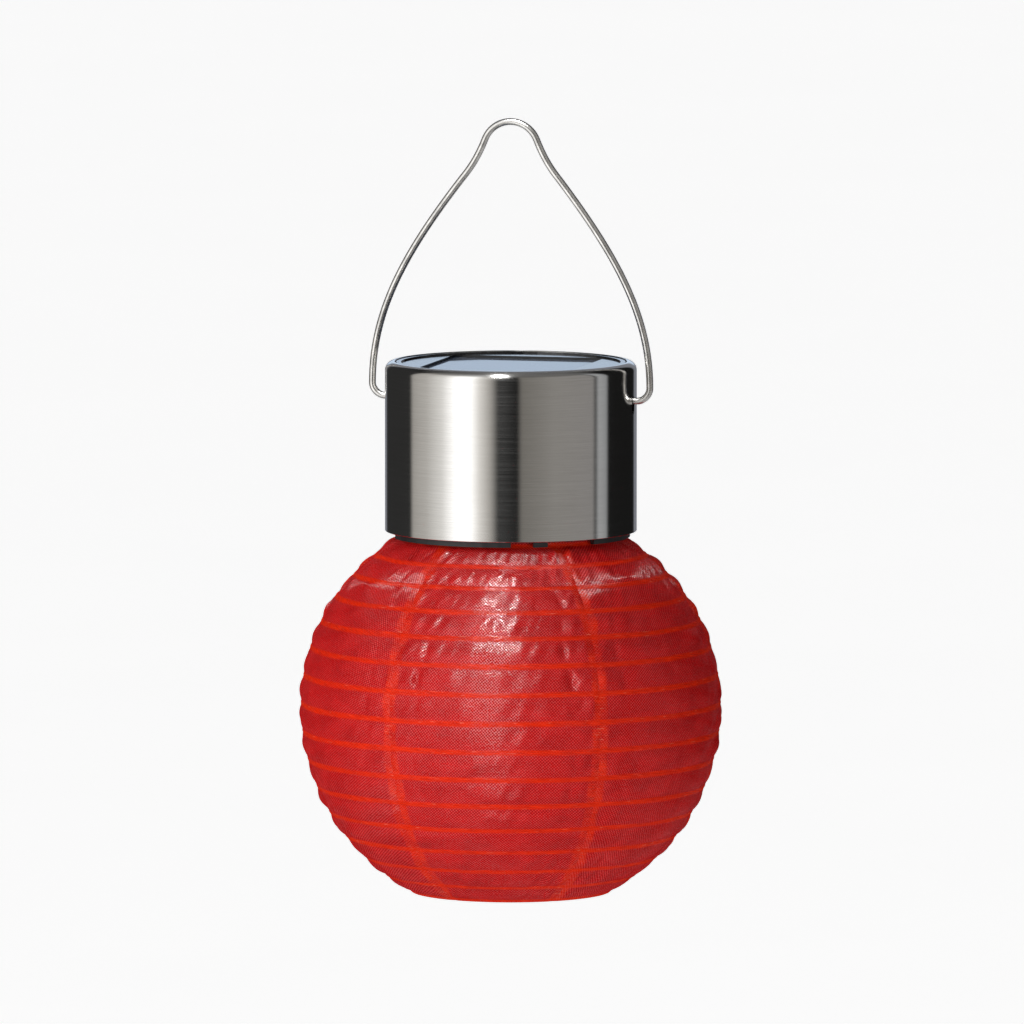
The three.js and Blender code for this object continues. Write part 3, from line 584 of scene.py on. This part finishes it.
def build_cap(steel):
    """The steel drum with its rolled lip and the two slots for the bail."""
    outer = shoulder(SHOULDER)
    inner = shoulder(SHOULDER - WALL)
    profile = [
        (CAP_R - WALL, CAP_LOW + EDGE), (CAP_R - WALL + EDGE, CAP_LOW), (CAP_R - EDGE, CAP_LOW),
        (CAP_R, CAP_LOW + EDGE), *outer, (LIP_R + EDGE, CAP_HIGH), (LIP_R, CAP_HIGH - EDGE),
        (LIP_R, CAP_HIGH - WALL), *reversed(inner),
    ]
    cap = turned("cap_drum", profile, steel, 240)
    cutter = slot_cutter()
    cut = cap.modifiers.new("slots", "BOOLEAN")
    cut.object = cutter
    cut.operation = "DIFFERENCE"
    cut.solver = "EXACT"
    apply_modifiers(cap)
    bpy.data.objects.remove(cutter)
    sharp_by_angle(cap, 28)
    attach(cap, "cap")
    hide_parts("cap_shell")


def slot_cutter():
    """Both bail slots as one bar with round ends, along X."""
    width, height = SLOT
    top = PIVOT_Z + BAIL_R + SLOT_CLEAR
    half, straight = width / 2, (height - width) / 2
    outline = []
    steps = 24
    for i in range(steps):
        angle = TAU * (i + 0.5) / steps
        offset = straight if math.sin(angle) > 0 else -straight
        outline.append((half * math.cos(angle), top - height / 2 + offset + half * math.sin(angle)))
    reach = CAP_R * 1.2
    vertices = [(side * reach, y, z) for side in (-1, 1) for y, z in outline]
    count = len(outline)
    sides = [(i, (i + 1) % count, count + (i + 1) % count, count + i) for i in range(count)]
    ends = [tuple(reversed(range(count))), tuple(range(count, 2 * count))]
    return mesh_object("slot_cutter", vertices, sides + ends, None, smooth=False)


# Bail

BAIL_BEND = 3.3 * MM
BAIL_BOW = 21.5 * MM
BAIL_TAIL = 3.1 * MM  # into the cap
NECK_W = 13.1 * MM
NECK_DROP = 15.1 * MM
NECK_SLOPE = math.radians(38)
CROWN_R = 7.4 * MM
CROWN_SLOPE = math.radians(22)
LEG_PULL, NECK_PULL, CROWN_PULL = 0.45, 0.15, 0.43


def bezier(points, count):
    """Points along a cubic curve, without its last one."""
    made = []
    a, b, c, d = (Vector(p) for p in points)
    for i in range(count):
        t = i / count
        made.append(a * (1 - t) ** 3 + b * 3 * t * (1 - t) ** 2 + c * 3 * t * t * (1 - t) + d * t**3)
    return made


def bail_points():
    """The wire's middle line: tails in the slots, bowed legs, a kinked neck and a round crown."""
    rise = BAIL_HIGH - BAIL_R - PIVOT_Z
    leg = radius_of("bail_wire") - BAIL_R
    bend = BAIL_BEND
    neck = Vector((NECK_W, rise - NECK_DROP))
    leg_way = Vector((-math.sin(NECK_SLOPE), math.cos(NECK_SLOPE)))
    side_way = Vector((-math.sin(CROWN_SLOPE), math.cos(CROWN_SLOPE)))
    side = Vector((CROWN_R * math.cos(CROWN_SLOPE), rise - CROWN_R * (1 - math.sin(CROWN_SLOPE))))
    handle = 4 / 3 * math.tan((math.pi / 2 - CROWN_SLOPE) / 4) * CROWN_R
    neck_pull = leg_way * NECK_PULL * NECK_DROP
    side_pull = side_way * CROWN_PULL * NECK_DROP
    pieces = [
        ([(leg - bend, 0), (leg - bend / 2, 0), (leg, bend / 2), (leg, bend)], 14),
        ([(leg, bend), (leg, BAIL_BOW), neck - leg_way * LEG_PULL * neck.y, neck], 60),
        ([neck, neck + neck_pull, side - side_pull, side], 24),
        ([side, side + side_way * handle, (handle, rise), (0, rise)], 24),
    ]
    half = [Vector((CAP_R - BAIL_TAIL, 0))]
    for points, count in pieces:
        half += bezier(points, count)
    right = [Vector((p.x, 0, PIVOT_Z + p.y)) for p in half]
    left = [Vector((-p.x, 0, p.z)) for p in right]
    return [*left, Vector((0, 0, PIVOT_Z + rise)), *reversed(right)]


def build_bail(steel):
    piece = wire_piece("bail", bail_points(), BAIL_R, steel, 24)
    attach(piece, "bail")
    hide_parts("bail_wire")


# Finishes of the CAD pieces


def paint_cad(finishes):
    """Gives each CAD node its material, smooth shading and softened edges."""
    for material, names, bevel in finishes:
        for name in names:
            piece = frame["nodes"][name]
            if piece.hide_render:
                continue
            piece.data.materials.clear()
            piece.data.materials.append(material)
            piece.data.polygons.foreach_set("use_smooth", [True] * len(piece.data.polygons))
            if bevel:
                edge = piece.modifiers.new("edges", "BEVEL")
                edge.width = bevel
                edge.segments = 2
                edge.limit_method = "ANGLE"
                edge.angle_limit = math.radians(40)
                edge.harden_normals = True
            else:
                piece.data.set_sharp_from_angle(angle=math.radians(35))


def finish_cad():
    """Materials for the CAD pieces that show as they are."""
    matte = moulded("black_moulding", (0.012, 0.012, 0.013), 0.42, 0.5)
    gloss = moulded("black_gloss", (0.006, 0.006, 0.007), 0.10, 0.04, 0.6)
    nickel = drawn_wire("nickel", (0.62, 0.60, 0.55), 0.2)
    hoop = moulded("hoop_lacquer", (0.50, 0.012, 0.004), 0.3, 0.1)
    cells = [f"solar_cell_{i}" for i in range(1, 5)]
    leads = ("led_lead", "battery_lead", "panel_lead")
    screws = ["door_screw", "case_screw_left", "case_screw_right"]
    paint_cad([
        (matte, ["base_housing", "battery_door", "led_turret", "switch_lever", "driver_chip"], 0),
        (matte, ["collar", "foot_disc"], 0.15 * MM),
        (gloss, ["panel_tray"], 0.12 * MM),
        (gloss, ["inductor"], 0),
        (nickel, [*screws, "battery_spring", "battery_contact", "switch_body"], 0),
        (hoop, ["top_ring", *HOOPS, "foot_ring"], 0),
        (silicon(), cells, 0),
        (cast_resin(), ["panel_cover"], 0.1 * MM),
        (laminate(), ["panel_board", "circuit_board"], 0),
        (moulded("sleeve", (0.03, 0.22, 0.07), 0.25, 0.1), ["battery_cell"], 0),
        (moulded("vinyl_red", (0.45, 0.012, 0.012), 0.35, 0.1), [f"{n}_red" for n in leads], 0),
        (moulded("vinyl_black", (0.012, 0.012, 0.012), 0.35, 0.1), [f"{n}_black" for n in leads], 0),
        (clear_lens(), ["led"], 0),
    ])


# Studio


def build_world():
    """Soft panels round the lantern by bearing from the camera, with dark gaps between them."""
    world = bpy.data.worlds.new("studio")
    bpy.context.scene.world = world
    world.use_nodes = True
    tree = world.node_tree
    tree.nodes.clear()
    place = add(tree, "TexCoord").outputs["Generated"]
    x, y, z = add(tree, "SeparateXYZ", {0: place}).outputs
    bearing = maths(tree, "ARCTAN2", x, maths(tree, "MULTIPLY", y, -1.0))
    turn = maths(tree, "FRACT", maths(tree, "MULTIPLY_ADD", bearing, 1 / TAU, 1.5 - VIEW / 360))
    rear, warm = (0.22, 0.23, 0.26), (0.42, 0.405, 0.38)
    bands = [
        (-180, rear), (-162, rear), (-157, 0.03), (-106, 0.03), (-101, warm),
        (-84, (0.54, 0.525, 0.50)), (-66, (0.88, 0.87, 0.85)), (-53, 1.5), (-37, 1.5),
        (-29, (0.88, 0.86, 0.83)), (-19, warm), (-12, 0.015), (6, 0.005),
        (10, (0.20, 0.19, 0.175)), (40, (0.29, 0.28, 0.265)), (81, (0.28, 0.27, 0.265)), (84, 0.05),
        (88, (0.40, 0.41, 0.42)), (98, (0.32, 0.33, 0.34)), (101, 0.010), (152, 0.010),
        (157, rear), (180, rear),
    ]
    around = ramp(tree, turn, [((a + 180) / 360, colour) for a, colour in bands])
    up = maths(tree, "MULTIPLY_ADD", z, 0.5, 0.5)
    overhead = ramp(tree, up, [
        (0.0, 0.45), (0.14, 0.4), (0.30, 0.2), (0.40, 0.0), (0.84, 0.0), (0.93, 0.10), (1.0, 0.15),
    ])
    level = ramp(tree, up, [(0.0, 0.0), (0.16, 0.25), (0.30, 1.0), (0.78, 1.0), (0.90, 0.3), (1.0, 0.0)])
    window = ramp(tree, up, [(0.515, 0.0), (0.53, 1.0), (0.575, 1.0), (0.60, 0.0)])
    behind = ramp(tree, turn, [(0.0, 1.0), (0.025, 1.0), (0.04, 0.0), (0.96, 0.0), (0.975, 1.0), (1.0, 1.0)])
    glow = mix(tree, maths(tree, "MULTIPLY", window, behind), (0, 0, 0), (0.40, 0.52, 0.66))
    panels = mix(tree, 1.0, around, level, "MULTIPLY")
    light = mix(tree, 1.0, mix(tree, 1.0, panels, overhead, "ADD"), glow, "ADD")
    seen = add(tree, "LightPath").outputs["Is Camera Ray"]
    pale = add(tree, "Background", {0: (1, 1, 1, 1), 1: 1.0}).outputs[0]
    studio = add(tree, "Background", {0: light, 1: 1.0}).outputs[0]
    output = add(tree, "OutputWorld")
    tree.links.new(add(tree, "MixShader", {0: seen, 1: studio, 2: pale}).outputs[0], output.inputs[0])


def area_light(name, bearing, height, distance, size, power):
    """A lamp at a bearing from the camera and a height, in degrees, aimed at the shade."""
    lamp = bpy.data.lights.new(name, "AREA")
    lamp.shape = "RECTANGLE"
    lamp.size, lamp.size_y = size
    lamp.energy = power
    made = bpy.data.objects.new(name, lamp)
    bpy.context.scene.collection.objects.link(made)
    aim = Vector((0, 0, (FOOT_Z + CAP_LOW) / 2))
    a, h = math.radians(bearing + VIEW), math.radians(height)
    away = Vector((math.sin(a) * math.cos(h), -math.cos(a) * math.cos(h), math.sin(h)))
    made.location = aim + away * distance
    made.rotation_euler = away.to_track_quat("Z", "Y").to_euler()
    return made


def build_floor():
    """A pale floor well below the lantern, which throws no light or shadow on it."""
    made, tree = new_material("pale_floor")
    fibre = noise_of(tree, object_space(tree), 6, 4)
    colour = ramp(tree, fibre, [(0.3, 0.915), (0.7, 0.92)])
    inputs = {"Base Color": colour, "Roughness": 0.9, "Emission Color": colour, "Emission Strength": 0.80}
    finish_material(tree, add(tree, "BsdfPrincipled", inputs).outputs[0])
    size, drop = 40.0, 0.45
    z = FOOT_Z - drop
    corners = [(-size, -size, z), (size, -size, z), (size, size, z), (-size, size, z)]
    floor = mesh_object("floor", corners, [(0, 1, 2, 3)], made, smooth=False)
    floor.visible_glossy = False
    floor.visible_diffuse = False
    floor.visible_transmission = False
    floor.visible_shadow = False


def build_camera():
    distance, elevation, frame_width = 4.6, math.radians(5.7), 0.2652
    aside, aim_height = 0.3 * MM, 98.7 * MM  # height above the foot
    aim = Vector((aside, 0, FOOT_Z + aim_height))
    camera = bpy.data.objects.new("camera", bpy.data.cameras.new("camera"))
    bpy.context.scene.collection.objects.link(camera)
    camera.data.sensor_width = 36
    camera.data.lens = 36 * distance / frame_width
    camera.data.clip_end = 100
    bearing = math.radians(VIEW)
    level = math.cos(elevation)
    back = Vector((math.sin(bearing) * level, -math.cos(bearing) * level, math.sin(elevation)))
    camera.location = aim + back * distance
    camera.rotation_euler = back.to_track_quat("Z", "Y").to_euler()
    bpy.context.scene.camera = camera


def build_studio():
    build_world()
    build_floor()
    area_light("sparkle", -15, 61, 1.2, (0.10, 0.10), 36).visible_diffuse = False
    soft = (
        ("high_front", -26, 52, 5),
        ("left_front", -62, 18, 7),
        ("right_front", 38, 0, 5),
        ("low_front", -10, -46, 7),
        ("back", 172, 25, 5),
    )
    for name, bearing, height, power in soft:
        area_light(name, bearing, height, 1.3, (0.5, 0.6), power).visible_glossy = False
    bpy.context.scene.view_settings.view_transform = "Standard"


build_camera()
build_studio()
build_cap(brushed_steel())
build_bail(drawn_wire("bail_steel", (0.84, 0.825, 0.80), 0.20))
build_shade()
finish_cad()
